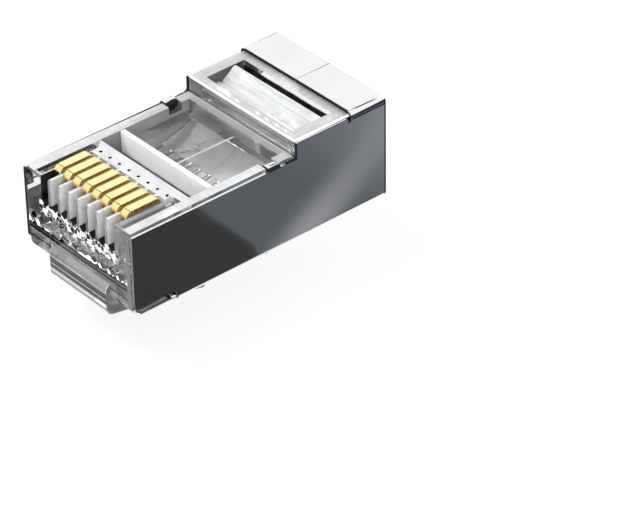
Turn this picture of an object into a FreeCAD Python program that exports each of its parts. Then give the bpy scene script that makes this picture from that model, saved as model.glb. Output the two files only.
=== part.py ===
import FreeCAD, Part
import math
import os

# Eight-way modular plug with a clear moulded body and a folded metal shield, before crimping.
# Millimetres. X runs across the plug, +Y from the nose to the cable end, +Z up with the blades on top.
# The origin is on the nose face, at mid width and level with the underside.

V = FreeCAD.Vector

# Overall sizes
WIDTH = 11.7
LENGTH = 22.3
NOSE_HEIGHT = 6.8
REAR_HEIGHT = 8.0
STEP_Y = 14.2

# Shield sheet
SHEET = 0.2
SHIELD_LAP = 0.3
BEND_RADIUS = 0.45
FOLD_RADIUS = 0.4
STRAP_LENGTH = 3.15
SEAM_GAP = 0.06
EDGE_SHOW = 0.15
NOTCH_END_Y = 3.7
NOTCH_HEIGHT = 0.87
NOTCH_RADIUS = 0.4
SWEEP_RADIUS = 0.3
SHEAR_RADIUS = 0.1
RELIEF_WIDTH = 0.28
RELIEF_DEPTH = 0.35
RELIEF_RADIUS = 0.1
TAB_Y = 12.3
TAB_LENGTH = 1.0
TAB_REACH = 0.8
TAB_DROP = 0.7
TAB_STAND = 0.12
TAB_RADIUS = 0.3
TAB_LIP_RADIUS = 0.45

# Body walls
SIDE_WALL = 0.9
TOP_EDGE = 0.12
CORNER_RADIUS = 1.0
STEP_RADIUS = 0.15

# Comb of blade slots and the wire channels under it
WAYS = 8
PITCH = 1.02
SLOT_WIDTH = 0.76
SLOT_FLOOR = 4.8
SLOT_VEE = 0.35
SLOT_REAR_Y = 4.4
COMB_REAR_Y = 5.75
LAND_DROP = 0.3
LAND_FRONT = 0.25
LAND_REAR_Y = 5.05
CHANNEL_WIDTH = 0.88
CHANNEL_HEIGHT = 1.2
CHANNEL_Z = 3.15
DIMPLE_Y = 4.85
DIMPLE_RADIUS = 0.11
DIMPLE_DEPTH = 0.2

# Blades
BLADE_WIDTH = 0.68
BLADE_WEB = 0.3
BLADE_FRONT_Y = 1.1
BLADE_LENGTH = 3.0
BLADE_PROUD = 0.4
BLADE_HEAD = 0.8
BLADE_RADIUS = 0.5
TOOTH_COUNT = 3
TOOTH_DEPTH = 0.75
WEB_CLEAR = 0.04

# Conductor bar and the pocket that it stands in
POCKET_REAR_Y = 8.5
POCKET_FLOOR = 3.1
BAR_FRONT_Y = 7.42
BAR_TOP_WIDTH = 0.38
BAR_WIDTH = 0.93
BAR_DEPTH = 2.65
BAR_HAUNCH = 0.6
BAR_TIP_WIDTH = 0.4
BAR_EDGE_RADIUS = 0.05
BAR_HAUNCH_RADIUS = 0.1
BAR_CLEAR = 0.05

# Window recess over the wire lead-in
WINDOW_FLOOR = 5.9
WINDOW_REAR_Y = 13.5
ROOF_THICKNESS = 1.0
WITNESS_WIDTH = 0.14
WITNESS_HEIGHT = 0.05

# Cable cavity
FLOOR_THICKNESS = 0.8
CAVITY_TOP = 6.5
CAVITY_FRONT_Y = 13.4
CAVITY_RADIUS = 0.6
LEAD_IN_LENGTH = 3.0
LEAD_IN_MARGIN = 0.1
ROOF_RAMP = 1.5
MOUTH_BEVEL = 0.3

# Cable clamp flap and its recess
RECESS_FRONT_Y = 15.0
RECESS_LENGTH = 3.4
RECESS_HALF_WIDTH = 4.6
LEDGE_DROP = 0.85
FLAP_PIVOT_Y = 16.35
FLAP_PIVOT_DROP = 1.15
FLAP_KNUCKLE = 0.3
FLAP_LENGTH = 1.25
FLAP_TOP_DROP = 0.03
FLAP_EDGE = 0.25
FLAP_HEEL = 0.75
FLAP_TOE = 0.85
FLAP_TOE_DROP = 0.3
FLAP_SHOULDER = 0.24
FLAP_RADIUS = 0.08
FLAP_RIDGES = 3
FLAP_RIDGE_DEPTH = 0.1
FLAP_CLEAR = 0.1
KNUCKLE_CLEAR = 0.05

# Latch
LATCH_WIDTH = 6.2
LATCH_ROOT_RADIUS = 0.65
LATCH_PROUD = 0.3
LATCH_PIVOT_Z = 1.0
LATCH_DROP = 1.1
LATCH_NOSE_RADIUS = 0.7
LATCH_SHOULDER_Y = 8.3
LATCH_STOP_LENGTH = 2.2
LATCH_STOP_THICKNESS = 1.05
LATCH_THICKNESS = 0.9
LATCH_ANGLE = 10.0
LATCH_BELLY_RADIUS = 1.0
LATCH_HEEL_RADIUS = 0.3
LATCH_EDGE_RADIUS = 0.1
LEVER_WIDTH = 3.2
LEVER_END_Y = 15.4
LEVER_END_RADIUS = 0.6
PAD_Y = 12.3
PAD_ANGLE = 18.0
PAD_BEND_RADIUS = 3.0
PAD_TIP_THICKNESS = 0.6
PAD_TIP_RADIUS = 0.25
SHOULDER_RADIUS = 0.35
LATCH_SIDE_CLEAR = 0.1
LATCH_POCKET_DEPTH = 1.2

# Values that follow from the sizes above
HALF = WIDTH / 2
BODY_HALF = HALF - SHEET
CAVITY_HALF = BODY_HALF - SIDE_WALL
BODY_REAR_Y = LENGTH - SHIELD_LAP
INNER_BEND = BEND_RADIUS - SHEET
INNER_FOLD = FOLD_RADIUS - SHEET
CAVITY_FLOOR = SHEET + FLOOR_THICKNESS
STRAP_Y = LENGTH - STRAP_LENGTH
STRAP_TOP = REAR_HEIGHT + SHEET
LATCH_PIVOT_Y = LATCH_ROOT_RADIUS - LATCH_PROUD
LAST_WAY = WAYS - 1
BEYOND = 2.0
TOUCH = 1e-6


def on_yz(x):
    """Place outline points (y, z) on the plane at this x."""
    return lambda u, v: V(x, u, v)


def on_xz(y):
    """Place outline points (x, z) on the plane at this y."""
    return lambda u, v: V(u, y, v)


def on_xy(z):
    """Place outline points (x, y) on the plane at this z."""
    return lambda u, v: V(u, v, z)


def outline(corners, place):
    """Closed face through corners (u, v) or (u, v, radius), the rounded ones with a tangent arc."""
    count = len(corners)
    legs = []
    for i in range(count):
        here = V(corners[i][0], corners[i][1], 0)
        radius = corners[i][2] if len(corners[i]) > 2 else 0
        back = V(*corners[i - 1][:2], 0) - here
        ahead = V(*corners[(i + 1) % count][:2], 0) - here
        if radius <= 0:
            legs.append((here, None, here))
            continue
        half_angle = back.getAngle(ahead) / 2
        reach = radius / math.tan(half_angle)
        back.normalize()
        ahead.normalize()
        middle = (back + ahead).normalize() * (radius / math.sin(half_angle) - radius)
        legs.append((here + back * reach, here + middle, here + ahead * reach))
    edges = []
    for i in range(count):
        start, middle, end = legs[i]
        if middle is not None:
            points = [place(p.x, p.y) for p in (start, middle, end)]
            edges.append(Part.Arc(*points).toShape())
        following = legs[(i + 1) % count][0]
        if (following - end).Length > TOUCH:
            edges.append(Part.LineSegment(place(end.x, end.y), place(following.x, following.y)).toShape())
    return Part.Face(Part.Wire(edges))


def along_x(corners, x0, x1):
    """Side profile of (y, z) corners, extruded across the plug."""
    return outline(corners, on_yz(x0)).extrude(V(x1 - x0, 0, 0))


def along_y(corners, y0, y1):
    """Cross-section of (x, z) corners, extruded along the plug."""
    return outline(corners, on_xz(y0)).extrude(V(0, y1 - y0, 0))


def along_z(corners, z0, z1):
    """Plan outline of (x, y) corners, extruded upwards."""
    return outline(corners, on_xy(z0)).extrude(V(0, 0, z1 - z0))


def block(x0, x1, y0, y1, z0, z1):
    """Box between two corners."""
    return Part.makeBox(x1 - x0, y1 - y0, z1 - z0, V(x0, y0, z0))


def rod(y, z, radius, half_width):
    """Round bar across the plug, centred on mid width."""
    return Part.makeCylinder(radius, 2 * half_width, V(-half_width, y, z), V(1, 0, 0))


def rectangle(x, z0, z1, radius):
    """Corners of a symmetrical upright rectangle with the same radius on each corner."""
    return [(-x, z0, radius), (x, z0, radius), (x, z1, radius), (-x, z1, radius)]


def way_x(index):
    """Centre of one blade, counted from the -X side."""
    return (index - LAST_WAY / 2) * PITCH


def both_sides(shape):
    """The shape and its mirror image on the other side."""
    return [shape, shape.mirror(V(0, 0, 0), V(1, 0, 0))]


def lever_z(y, below):
    """Height on the straight latch arm: its upper face at this y, less a distance below it."""
    top = LATCH_PIVOT_Z - LATCH_DROP
    return top - (y - LATCH_PIVOT_Y) * math.tan(math.radians(LATCH_ANGLE)) - below


def pad_z(y, below):
    """Height on the bent thumb pad behind the arm: its upper face at this y, less a distance below it."""
    return lever_z(PAD_Y, below) - (y - PAD_Y) * math.tan(math.radians(PAD_ANGLE))


def inside_section():
    """Cross-section of the space inside the folded sheet at the cable end."""
    return [
        (-BODY_HALF, SHEET, INNER_BEND),
        (BODY_HALF, SHEET, INNER_BEND),
        (BODY_HALF, REAR_HEIGHT, INNER_FOLD),
        (-BODY_HALF, REAR_HEIGHT, INNER_FOLD),
    ]


def body_blank():
    """Solid outside of the moulding: low nose, step and raised cable end."""
    side = [
        (0, 0, CORNER_RADIUS),
        (NOTCH_END_Y, 0),
        (NOTCH_END_Y, SHEET),
        (BODY_REAR_Y, SHEET),
        (BODY_REAR_Y, REAR_HEIGHT),
        (STEP_Y, REAR_HEIGHT, STEP_RADIUS),
        (STEP_Y, NOSE_HEIGHT, STEP_RADIUS),
        (0, NOSE_HEIGHT, STEP_RADIUS),
    ]
    blank = along_x(side, -BODY_HALF, BODY_HALF)
    edges = [
        edge
        for edge in blank.Edges
        if abs(abs(edge.CenterOfMass.x) - BODY_HALF) < TOUCH
        and abs(edge.tangentAt(edge.FirstParameter).y) > 1 - TOUCH
        and min(abs(edge.CenterOfMass.z - NOSE_HEIGHT), abs(edge.CenterOfMass.z - REAR_HEIGHT)) < TOUCH
        and isinstance(edge.Curve, Part.Line)
    ]
    blank = blank.makeChamfer(TOP_EDGE, edges)
    open_top = [(BODY_HALF, REAR_HEIGHT + BEYOND), (-BODY_HALF, REAR_HEIGHT + BEYOND)]
    nose_section = [(-BODY_HALF, 0, INNER_BEND), (BODY_HALF, 0, INNER_BEND)] + open_top
    main_section = [(-BODY_HALF, SHEET, INNER_BEND), (BODY_HALF, SHEET, INNER_BEND)] + open_top
    rear_section = inside_section()
    nose = blank.common(along_y(nose_section, -BEYOND, NOTCH_END_Y))
    main = blank.common(along_y(main_section, NOTCH_END_Y, STRAP_Y))
    rear = blank.common(along_y(rear_section, STRAP_Y, BODY_REAR_Y))
    return nose.fuse([main, rear]).removeSplitter()


def slot_cuts():
    """Slots of the comb, each with a vee floor, and the narrow well that takes a blade's teeth."""
    cuts = []
    half = SLOT_WIDTH / 2
    well = BLADE_WEB / 2 + WEB_CLEAR
    well_floor = CHANNEL_Z - CHANNEL_HEIGHT / 2
    for index in range(WAYS):
        x = way_x(index)
        section = [
            (x - half, SLOT_FLOOR),
            (x, SLOT_FLOOR - SLOT_VEE),
            (x + half, SLOT_FLOOR),
            (x + half, NOSE_HEIGHT + BEYOND),
            (x - half, NOSE_HEIGHT + BEYOND),
        ]
        cuts.append(along_y(section, -BEYOND, SLOT_REAR_Y))
        front = BLADE_FRONT_Y - WEB_CLEAR
        rear = BLADE_FRONT_Y + BLADE_LENGTH + WEB_CLEAR
        cuts.append(block(x - well, x + well, front, rear, well_floor, SLOT_FLOOR))
    return cuts


def channel_cuts():
    """Six-sided wire channels from the lead-in to the nose face, point up."""
    half = CHANNEL_WIDTH / 2
    side = CHANNEL_HEIGHT / 2 - half / math.sqrt(3)
    cuts = []
    for index in range(WAYS):
        x = way_x(index)
        section = [
            (x, CHANNEL_Z - CHANNEL_HEIGHT / 2),
            (x + half, CHANNEL_Z - side),
            (x + half, CHANNEL_Z + side),
            (x, CHANNEL_Z + CHANNEL_HEIGHT / 2),
            (x - half, CHANNEL_Z + side),
            (x - half, CHANNEL_Z - side),
        ]
        cuts.append(along_y(section, -BEYOND, CAVITY_FRONT_Y - LEAD_IN_LENGTH + LEAD_IN_MARGIN))
    return cuts


def land_cuts():
    """Lowered lands between the comb and the side walls."""
    inner = way_x(LAST_WAY) + PITCH / 2
    land = block(
        inner,
        CAVITY_HALF,
        LAND_FRONT,
        LAND_REAR_Y,
        NOSE_HEIGHT - LAND_DROP,
        NOSE_HEIGHT + BEYOND,
    )
    return both_sides(land)


def dimple_cuts():
    """Row of small moulding dimples behind the slots, one for each way."""
    top = NOSE_HEIGHT - DIMPLE_DEPTH
    return [
        Part.makeCylinder(DIMPLE_RADIUS, BEYOND, V(way_x(index), DIMPLE_Y, top))
        for index in range(WAYS)
    ]


def pocket_cuts():
    """Pocket of the conductor bar, and the shallow window recess behind it."""
    top = NOSE_HEIGHT + BEYOND
    pocket = block(-CAVITY_HALF, CAVITY_HALF, COMB_REAR_Y, POCKET_REAR_Y, POCKET_FLOOR, top)
    window = block(
        -CAVITY_HALF, CAVITY_HALF, POCKET_REAR_Y - LEAD_IN_MARGIN, WINDOW_REAR_Y, WINDOW_FLOOR, top
    )
    return [pocket, window]


def cavity_cuts():
    """Cable cavity, the lead-in that narrows it to the wire channels, and the bevelled mouth."""
    ceiling = WINDOW_FLOOR - ROOF_THICKNESS
    side = [
        (CAVITY_FRONT_Y, CAVITY_FLOOR),
        (BODY_REAR_Y + BEYOND, CAVITY_FLOOR),
        (BODY_REAR_Y + BEYOND, CAVITY_TOP),
        (CAVITY_FRONT_Y + ROOF_RAMP, CAVITY_TOP, CAVITY_RADIUS),
        (CAVITY_FRONT_Y, ceiling, CAVITY_RADIUS),
    ]
    run = along_x(side, -CAVITY_HALF, CAVITY_HALF)
    long_section = rectangle(CAVITY_HALF, CAVITY_FLOOR, CAVITY_TOP, CAVITY_RADIUS)
    run = run.common(along_y(long_section, CAVITY_FRONT_Y - BEYOND, BODY_REAR_Y + BEYOND))
    narrow = way_x(LAST_WAY) + CHANNEL_WIDTH / 2
    low = CHANNEL_Z - CHANNEL_HEIGHT / 2
    high = CHANNEL_Z + CHANNEL_HEIGHT / 2
    wide_end = outline(
        rectangle(CAVITY_HALF, CAVITY_FLOOR, ceiling, CAVITY_RADIUS),
        on_xz(CAVITY_FRONT_Y + LEAD_IN_MARGIN),
    )
    narrow_end = outline(
        rectangle(narrow, low, high, LEAD_IN_MARGIN), on_xz(CAVITY_FRONT_Y - LEAD_IN_LENGTH)
    )
    lead_in = Part.makeLoft([narrow_end.OuterWire, wide_end.OuterWire], True, True)
    inner = outline(
        rectangle(CAVITY_HALF, CAVITY_FLOOR, CAVITY_TOP, CAVITY_RADIUS),
        on_xz(BODY_REAR_Y - MOUTH_BEVEL),
    )
    outer = outline(
        rectangle(
            CAVITY_HALF + MOUTH_BEVEL,
            CAVITY_FLOOR - MOUTH_BEVEL,
            CAVITY_TOP + MOUTH_BEVEL,
            CAVITY_RADIUS + MOUTH_BEVEL,
        ),
        on_xz(BODY_REAR_Y),
    )
    mouth = Part.makeLoft([inner.OuterWire, outer.OuterWire], True, True)
    return [run, lead_in, mouth]


def recess_cuts():
    """Recess of the cable clamp flap, open to the cavity behind a ledge with a round hinge seat."""
    x = RECESS_HALF_WIDTH
    rear = RECESS_FRONT_Y + RECESS_LENGTH
    top = REAR_HEIGHT + BEYOND
    pivot_z = REAR_HEIGHT - FLAP_PIVOT_DROP
    shelf = block(-x, x, RECESS_FRONT_Y, rear, REAR_HEIGHT - LEDGE_DROP, top)
    through = block(-x, x, FLAP_PIVOT_Y, rear, CAVITY_TOP - CAVITY_RADIUS, top)
    seat = rod(FLAP_PIVOT_Y, pivot_z, FLAP_KNUCKLE + KNUCKLE_CLEAR, x)
    return [shelf, through, seat]


def latch_cuts():
    """Pocket under the nose for the latch root, with a round seat about its pivot."""
    x = LATCH_WIDTH / 2 + LATCH_SIDE_CLEAR
    seat = rod(LATCH_PIVOT_Y, LATCH_PIVOT_Z, LATCH_ROOT_RADIUS + KNUCKLE_CLEAR, x)
    pocket = block(-x, x, -BEYOND, LATCH_POCKET_DEPTH, -BEYOND, LATCH_PIVOT_Z)
    front = block(-x, x, -BEYOND, LATCH_PIVOT_Y, -BEYOND, LATCH_PIVOT_Z + LATCH_ROOT_RADIUS)
    return [seat, pocket, front]


def tab_cuts():
    """Notches in the wall tops under the folded shield tabs."""
    depth = TAB_DROP + KNUCKLE_CLEAR - TAB_STAND
    notch = block(
        CAVITY_HALF - SHEET,
        HALF + SHEET,
        TAB_Y - TAB_LENGTH / 2 - KNUCKLE_CLEAR,
        TAB_Y + TAB_LENGTH / 2 + KNUCKLE_CLEAR,
        NOSE_HEIGHT - depth,
        NOSE_HEIGHT + BEYOND,
    )
    return both_sides(notch)


def plug_body():
    """Clear moulded body."""
    cuts = slot_cuts() + channel_cuts() + land_cuts() + dimple_cuts() + pocket_cuts()
    cuts += cavity_cuts() + recess_cuts() + latch_cuts() + tab_cuts()
    body = body_blank().cut(cuts)
    witness = block(
        -WITNESS_WIDTH / 2,
        WITNESS_WIDTH / 2,
        POCKET_REAR_Y,
        WINDOW_REAR_Y,
        WINDOW_FLOOR - WITNESS_HEIGHT,
        WINDOW_FLOOR + WITNESS_HEIGHT,
    )
    return body.fuse(witness).removeSplitter()


def contact(index):
    """One gold blade: rounded head, thin web and a row of piercing teeth."""
    top = NOSE_HEIGHT + BLADE_PROUD
    rear = BLADE_FRONT_Y + BLADE_LENGTH
    head = [
        (BLADE_FRONT_Y, top, BLADE_RADIUS),
        (rear, top, BLADE_RADIUS),
        (rear, top - BLADE_HEAD),
        (BLADE_FRONT_Y, top - BLADE_HEAD),
    ]
    tip = CHANNEL_Z + CHANNEL_HEIGHT / 2
    gum = tip + TOOTH_DEPTH
    tooth = BLADE_LENGTH / TOOTH_COUNT
    web = [(rear, top - BLADE_HEAD / 2), (BLADE_FRONT_Y, top - BLADE_HEAD / 2), (BLADE_FRONT_Y, gum)]
    for number in range(TOOTH_COUNT):
        start = BLADE_FRONT_Y + number * tooth
        web.append((start + tooth / 2, tip))
        web.append((start + tooth, gum))
    x = way_x(index)
    blade = along_x(head, x - BLADE_WIDTH / 2, x + BLADE_WIDTH / 2)
    blade = blade.fuse(along_x(web, x - BLADE_WEB / 2, x + BLADE_WEB / 2))
    return blade.removeSplitter()


def conductor_clamp_bar():
    """Wedge bar across the pocket, pushed down onto the conductors when the plug is crimped."""
    rear = BAR_FRONT_Y + BAR_WIDTH
    top = NOSE_HEIGHT
    tip = top - BAR_DEPTH
    haunch = top - BAR_DEPTH * BAR_HAUNCH
    middle = BAR_FRONT_Y + BAR_WIDTH / 2
    profile = [
        (BAR_FRONT_Y, top, BAR_EDGE_RADIUS),
        (BAR_FRONT_Y + BAR_TOP_WIDTH, top, BAR_EDGE_RADIUS),
        (rear, haunch, BAR_HAUNCH_RADIUS),
        (middle + BAR_TIP_WIDTH / 2, tip, BAR_EDGE_RADIUS),
        (middle - BAR_TIP_WIDTH / 2, tip, BAR_EDGE_RADIUS),
        (BAR_FRONT_Y, haunch, BAR_HAUNCH_RADIUS),
    ]
    half = CAVITY_HALF - BAR_CLEAR
    return along_x(profile, -half, half)


def cable_clamp_flap():
    """Sloping flap with a knuckle at its front edge and gripping ridges under its toe."""
    half = RECESS_HALF_WIDTH - FLAP_CLEAR
    y = FLAP_PIVOT_Y
    z = REAR_HEIGHT - FLAP_PIVOT_DROP
    top = REAR_HEIGHT - FLAP_TOP_DROP
    toe_y = y + FLAP_TOE
    toe_z = z - FLAP_TOE_DROP
    profile = [
        (y - FLAP_KNUCKLE / 2, z + FLAP_SHOULDER),
        (y + FLAP_LENGTH - FLAP_EDGE, top, FLAP_RADIUS),
        (y + FLAP_LENGTH, top, FLAP_RADIUS),
        (y + FLAP_LENGTH, top - FLAP_HEEL, FLAP_RADIUS),
    ]
    run = (y - toe_y) / FLAP_RIDGES
    rise = (z - FLAP_SHOULDER - toe_z) / FLAP_RIDGES
    for number in range(FLAP_RIDGES):
        profile.append((toe_y + number * run, toe_z + number * rise))
        profile.append((toe_y + (number + 1) * run, toe_z + number * rise + FLAP_RIDGE_DEPTH))
    profile.append((y, z - FLAP_SHOULDER))
    knuckle = rod(y, z, FLAP_KNUCKLE, half)
    return along_x(profile, -half, half).fuse(knuckle).removeSplitter()


def latch_tab():
    """Latch from its root at the nose: wide stop with two shoulders, then the lever and its bent thumb pad."""
    pivot_y = LATCH_PIVOT_Y
    pivot_z = LATCH_PIVOT_Z
    back = pivot_y + LATCH_ROOT_RADIUS
    front = pivot_y - LATCH_ROOT_RADIUS
    thick = LATCH_THICKNESS
    stop_y = LATCH_SHOULDER_Y - LATCH_STOP_LENGTH
    stop = LATCH_STOP_THICKNESS
    side = [
        (front, pivot_z),
        (front, lever_z(front, thick), LATCH_NOSE_RADIUS),
        (stop_y, lever_z(stop_y, thick), LATCH_BELLY_RADIUS),
        (LATCH_SHOULDER_Y, lever_z(LATCH_SHOULDER_Y, stop), LATCH_EDGE_RADIUS),
        (LATCH_SHOULDER_Y, lever_z(LATCH_SHOULDER_Y, thick), LATCH_EDGE_RADIUS),
        (PAD_Y, pad_z(PAD_Y, thick), PAD_BEND_RADIUS),
        (LEVER_END_Y, pad_z(LEVER_END_Y, PAD_TIP_THICKNESS), PAD_TIP_RADIUS),
        (LEVER_END_Y, pad_z(LEVER_END_Y, 0), PAD_TIP_RADIUS),
        (PAD_Y, pad_z(PAD_Y, 0), PAD_BEND_RADIUS),
        (back, lever_z(back, 0), LATCH_HEEL_RADIUS),
        (back, pivot_z),
    ]
    wide = LATCH_WIDTH / 2
    lever = LEVER_WIDTH / 2
    plan = [
        (-wide, front - BEYOND),
        (wide, front - BEYOND),
        (wide, LATCH_SHOULDER_Y, SHOULDER_RADIUS),
        (lever, LATCH_SHOULDER_Y, SHOULDER_RADIUS),
        (lever, LEVER_END_Y, LEVER_END_RADIUS),
        (-lever, LEVER_END_Y, LEVER_END_RADIUS),
        (-lever, LATCH_SHOULDER_Y, SHOULDER_RADIUS),
        (-wide, LATCH_SHOULDER_Y, SHOULDER_RADIUS),
    ]
    root = rod(pivot_y, pivot_z, LATCH_ROOT_RADIUS, wide)
    arm = along_x(side, -wide, wide).common(along_z(plan, -WIDTH, WIDTH))
    return arm.fuse(root).removeSplitter()


def shield_outline(top):
    """Side view of the folded sheet, up to this height at the cable end."""
    low = NOSE_HEIGHT - EDGE_SHOW
    high = REAR_HEIGHT - EDGE_SHOW
    return [
        (0, NOTCH_HEIGHT, NOTCH_RADIUS),
        (NOTCH_END_Y, NOTCH_HEIGHT, NOTCH_RADIUS),
        (NOTCH_END_Y, 0),
        (LENGTH, 0),
        (LENGTH, top),
        (STRAP_Y, top),
        (STRAP_Y, high - RELIEF_DEPTH, RELIEF_RADIUS),
        (STRAP_Y - RELIEF_WIDTH, high - RELIEF_DEPTH, RELIEF_RADIUS),
        (STRAP_Y - RELIEF_WIDTH, high, SHEAR_RADIUS),
        (STEP_Y, high, SHEAR_RADIUS),
        (STEP_Y, low, SWEEP_RADIUS),
        (0, low, SHEAR_RADIUS),
    ]


def shield_tab():
    """Tab that folds over the top of one wall and ends in a rounded lip."""
    top = NOSE_HEIGHT + TAB_STAND
    inner = HALF - TAB_REACH
    root = NOSE_HEIGHT - EDGE_SHOW - SHEET
    section = [
        (HALF, root),
        (HALF, top, TAB_RADIUS),
        (inner, top, TAB_RADIUS),
        (inner, top - TAB_DROP),
        (inner + SHEET, top - TAB_DROP),
        (inner + SHEET, top - SHEET, TAB_RADIUS - SHEET),
        (BODY_HALF, top - SHEET, TAB_RADIUS - SHEET),
        (BODY_HALF, root),
    ]
    y0 = TAB_Y - TAB_LENGTH / 2
    y1 = TAB_Y + TAB_LENGTH / 2
    tab = along_y(section, y0, y1)
    lip = [
        (y0, top - TAB_DROP, TAB_LIP_RADIUS),
        (y1, top - TAB_DROP, TAB_LIP_RADIUS),
        (y1, top),
        (y0, top),
    ]
    rim = along_x(lip, inner - SHEET, inner + SHEET + KNUCKLE_CLEAR)
    rest = block(inner + SHEET + KNUCKLE_CLEAR, HALF, y0, y1, root, top)
    return tab.common(rim.fuse(rest))


def shield():
    """Folded sheet shield: two sides, bottom, side tabs and the strap closed over the cable end."""
    sleeve = [
        (-HALF, 0, BEND_RADIUS),
        (HALF, 0, BEND_RADIUS),
        (HALF, STRAP_TOP, FOLD_RADIUS),
        (-HALF, STRAP_TOP, FOLD_RADIUS),
    ]
    bore = inside_section()
    trough = sleeve[:2] + [(HALF, STRAP_TOP), (-HALF, STRAP_TOP)]
    trough_bore = bore[:2] + [(BODY_HALF, STRAP_TOP + SHEET), (-BODY_HALF, STRAP_TOP + SHEET)]
    rear = along_y(sleeve, STRAP_Y, LENGTH).cut(along_y(bore, STRAP_Y - SHEET, LENGTH + SHEET))
    front = along_y(trough, 0, STRAP_Y).cut(along_y(trough_bore, -SHEET, STRAP_Y + SHEET))
    sheet = front.fuse(rear).removeSplitter()
    sheet = sheet.common(along_x(shield_outline(STRAP_TOP + SHEET), -WIDTH, WIDTH))
    seam = block(
        -SEAM_GAP / 2, SEAM_GAP / 2, STRAP_Y - SHEET, LENGTH + SHEET, REAR_HEIGHT - SHEET, STRAP_TOP + SHEET
    )
    return sheet.cut(seam).fuse(both_sides(shield_tab())).removeSplitter()


def save(name, shape):
    """Write one sub-part to its own file."""
    solid = shape.Solids[0] if len(shape.Solids) == 1 else shape
    print(name, "solids", len(shape.Solids), "valid", shape.isValid(), "volume", round(shape.Volume, 3))
    solid.exportStep(os.path.join("parts", name + ".step"))


def main():
    os.makedirs("parts", exist_ok=True)
    save("plug_body", plug_body())
    save("latch_tab", latch_tab())
    save("conductor_clamp_bar", conductor_clamp_bar())
    save("cable_clamp_flap", cable_clamp_flap())
    save("shield", shield())
    for index in range(WAYS):
        save("contact_%d" % (index + 1), contact(index))


main()
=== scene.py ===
"""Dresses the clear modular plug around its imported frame: moulding, folded shield, blades and studio."""

import logging
import math
from dataclasses import dataclass
from enum import Enum
from typing import Callable, Optional, Sequence, Union

import bmesh
import bpy
from mathutils import Matrix, Vector


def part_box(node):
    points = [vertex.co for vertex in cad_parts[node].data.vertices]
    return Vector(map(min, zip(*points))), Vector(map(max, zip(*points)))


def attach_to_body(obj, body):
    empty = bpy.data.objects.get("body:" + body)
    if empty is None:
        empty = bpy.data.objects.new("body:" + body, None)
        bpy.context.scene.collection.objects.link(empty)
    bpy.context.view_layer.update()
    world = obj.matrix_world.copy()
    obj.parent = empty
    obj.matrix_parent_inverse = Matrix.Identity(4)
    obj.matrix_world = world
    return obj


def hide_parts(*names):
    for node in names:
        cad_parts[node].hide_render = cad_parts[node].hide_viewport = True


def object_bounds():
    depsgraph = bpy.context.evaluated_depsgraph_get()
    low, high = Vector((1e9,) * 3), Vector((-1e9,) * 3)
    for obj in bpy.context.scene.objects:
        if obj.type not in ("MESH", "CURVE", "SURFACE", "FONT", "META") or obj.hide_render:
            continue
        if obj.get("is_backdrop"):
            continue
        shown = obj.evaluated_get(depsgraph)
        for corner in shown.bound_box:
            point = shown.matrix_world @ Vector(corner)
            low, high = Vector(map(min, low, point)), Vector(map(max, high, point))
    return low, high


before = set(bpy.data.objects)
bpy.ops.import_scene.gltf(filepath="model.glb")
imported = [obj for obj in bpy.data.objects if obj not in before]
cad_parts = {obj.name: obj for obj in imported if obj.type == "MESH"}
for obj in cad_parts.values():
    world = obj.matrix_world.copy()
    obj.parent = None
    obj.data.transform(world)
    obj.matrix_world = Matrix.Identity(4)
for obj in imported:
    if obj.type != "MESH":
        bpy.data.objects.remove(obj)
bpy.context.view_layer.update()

MM = 0.001
LOG = logging.getLogger("plug")
Colour = tuple[float, float, float]
Triple = tuple[float, float, float]
Pair = tuple[float, float]
Span = tuple[float, float]
ANY: Span = (-math.inf, math.inf)

# Least share of a face's unit normal along an axis where it is square to it, mostly faces it or leans to it.
SQUARE, UPRIGHT, SLANT = 0.96, 0.7, 0.2

# Length of the strap along the plug, from its rear end.
STRAP = 3.15 * MM


class Mark(Enum):
    """Face attributes that the finishes read."""

    INNER = "inner_side"
    CUT = "cut_edge"
    SHEARED = "sheared_side"


class Seen(Enum):
    """Which rays see a studio card."""

    MIRRORED = "only in reflections"
    REFRACTED = "in reflections and through the clear moulding"


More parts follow.
